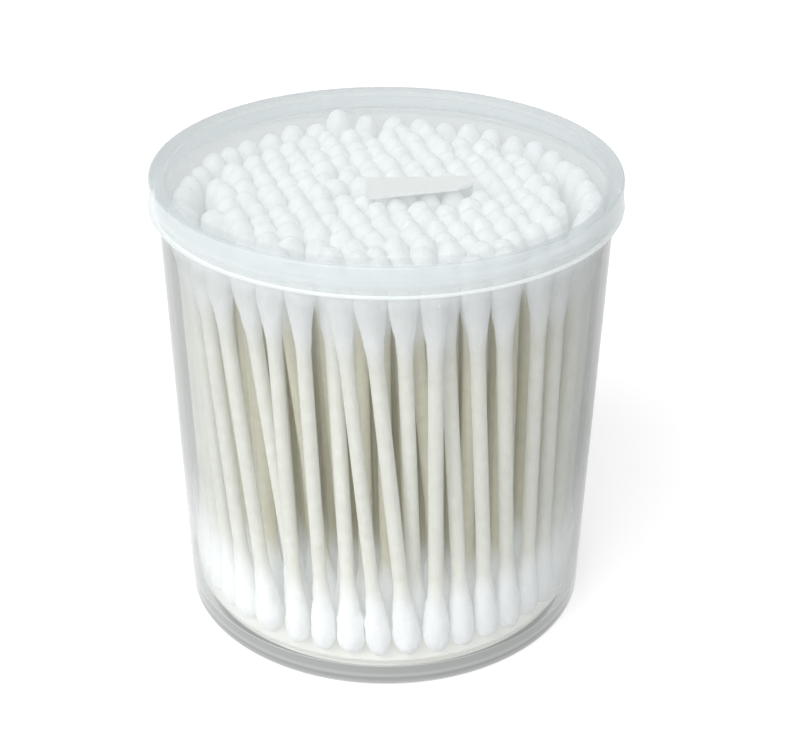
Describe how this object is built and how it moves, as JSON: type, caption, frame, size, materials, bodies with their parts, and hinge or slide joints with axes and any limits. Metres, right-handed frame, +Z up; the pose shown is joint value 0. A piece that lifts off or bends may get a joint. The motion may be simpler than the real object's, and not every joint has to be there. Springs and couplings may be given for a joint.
{
  "type": "cotton swab tub",
  "caption": "Clear round tub with a frosted press-on lid, packed with upright double-ended cotton swabs and a folded card slip.",
  "frame": {"origin": "centre of the foot ring's underside, on the plane the tub stands on", "axes": "+Z up along the tub's axis, -Y is the side that the picture is taken from, +X to its right"},
  "size_m": [0.0812, 0.0812, 0.0825],
  "materials": {
    "clear_styrene": "clear, polished",
    "frosted_polypropylene": "translucent, satin",
    "cotton_and_paper": "white wound cotton on cream paper sticks",
    "pale_card": "matt card"
  },
  "bodies": {
    "tub": {"tub": "clear_styrene", "paper_slip": "pale_card", "swab_01": "cotton_and_paper", "swab_02": "cotton_and_paper", "swab_03": "cotton_and_paper", "swab_04": "cotton_and_paper", "swab_05": "cotton_and_paper", "swab_06": "cotton_and_paper", "swab_07": "cotton_and_paper", "swab_08": "cotton_and_paper", "swab_09": "cotton_and_paper", "swab_10": "cotton_and_paper", "swab_11": "cotton_and_paper", "swab_12": "cotton_and_paper", "swab_13": "cotton_and_paper", "swab_14": "cotton_and_paper", "swab_15": "cotton_and_paper", "swab_16": "cotton_and_paper", "swab_17": "cotton_and_paper", "swab_18": "cotton_and_paper", "swab_19": "cotton_and_paper", "swab_20": "cotton_and_paper", "swab_21": "cotton_and_paper", "swab_22": "cotton_and_paper", "swab_23": "cotton_and_paper", "swab_24": "cotton_and_paper", "swab_25": "cotton_and_paper", "swab_26": "cotton_and_paper", "swab_27": "cotton_and_paper", "swab_28": "cotton_and_paper", "swab_29": "cotton_and_paper", "swab_30": "cotton_and_paper", "swab_31": "cotton_and_paper", "swab_32": "cotton_and_paper", "swab_33": "cotton_and_paper", "swab_34": "cotton_and_paper", "swab_35": "cotton_and_paper", "swab_36": "cotton_and_paper", "swab_37": "cotton_and_paper", "swab_38": "cotton_and_paper", "swab_39": "cotton_and_paper", "swab_40": "cotton_and_paper", "swab_41": "cotton_and_paper", "swab_42": "cotton_and_paper", "swab_43": "cotton_and_paper", "swab_44": "cotton_and_paper", "swab_block_1": "cotton_and_paper", "swab_block_2": "cotton_and_paper"},
    "lid": {"lid": "frosted_polypropylene"}
  },
  "joints": [
    {"name": "lid_lift", "type": "slide", "parent": "tub", "child": "lid", "axis": [0, 0, 1], "range_m": [0, 0.06]}
  ]
}
